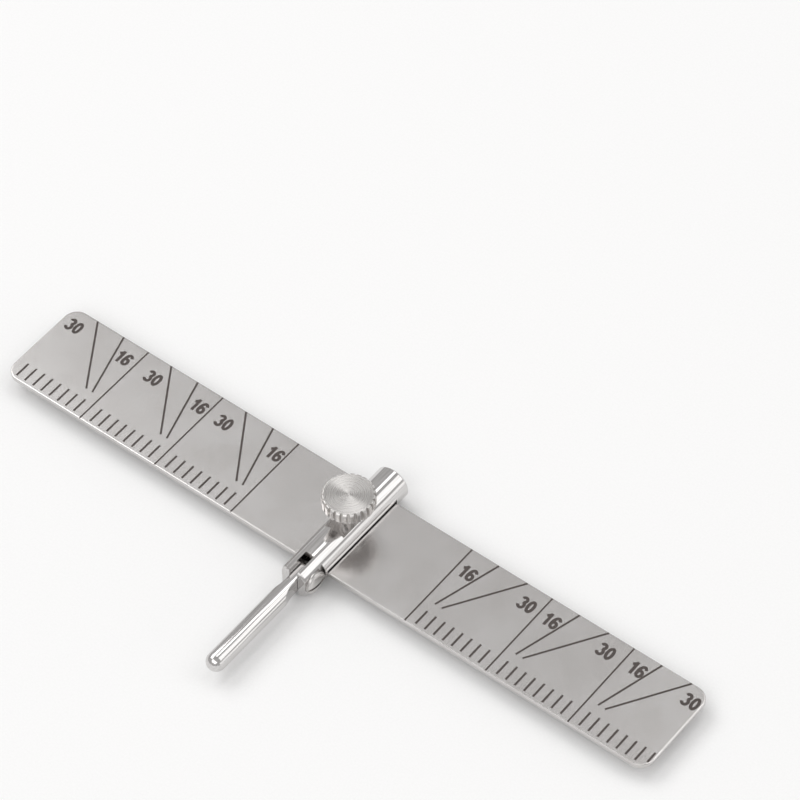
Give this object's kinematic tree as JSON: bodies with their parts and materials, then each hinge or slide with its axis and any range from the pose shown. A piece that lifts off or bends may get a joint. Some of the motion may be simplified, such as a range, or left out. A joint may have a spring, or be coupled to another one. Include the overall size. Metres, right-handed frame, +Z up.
{
  "type": "marking gauge",
  "caption": "Thin graduated steel blade that slides through a slotted round bar, locked by a knurled thumb screw, on a swivelling round rod.",
  "frame": {"origin": "bottom centre of the gauge's box at rest, with the blade level and centred in the bar and the rod straight out", "axes": "+X along the blade, +Y along the bar away from the swivel rod, +Z up out of the graduated face and through the thumb screw"},
  "size_m": [0.147, 0.0528, 0.0127],
  "materials": {
    "blasted_stainless": "satin, bead blasted",
    "polished_stainless": "polished",
    "turned_stainless": "fine turned",
    "brass": "machined"
  },
  "bodies": {
    "holder": {"holder_bar": "polished_stainless", "pivot_screw": "turned_stainless"},
    "blade": {"scale_blade": "blasted_stainless"},
    "pad": {"pressure_pad": "brass"},
    "screw": {"thumb_screw": "turned_stainless"},
    "rod": {"swivel_rod": "polished_stainless"}
  },
  "joints": [
    {"name": "blade_slide", "type": "slide", "parent": "holder", "child": "blade", "axis": [1, 0, 0], "range_m": [-0.066, 0.066]},
    {"name": "pad_travel", "type": "slide", "parent": "holder", "child": "pad", "axis": [0, 0, 1], "range_m": [0, 0.001]},
    {"name": "screw_turn", "type": "hinge", "parent": "pad", "child": "screw", "pos_m": [0, 0.0134, 0.0102], "axis": [0, 0, 1], "range_deg": [0, 720]},
    {"name": "rod_swivel", "type": "hinge", "parent": "holder", "child": "rod", "pos_m": [0, -0.00035, 0.0035], "axis": [1, 0, 0], "range_deg": [-90, 90]}
  ],
  "couplings": [
    {"joint": "screw_turn", "follows": "pad_travel", "rad_per_m": 12566}
  ]
}
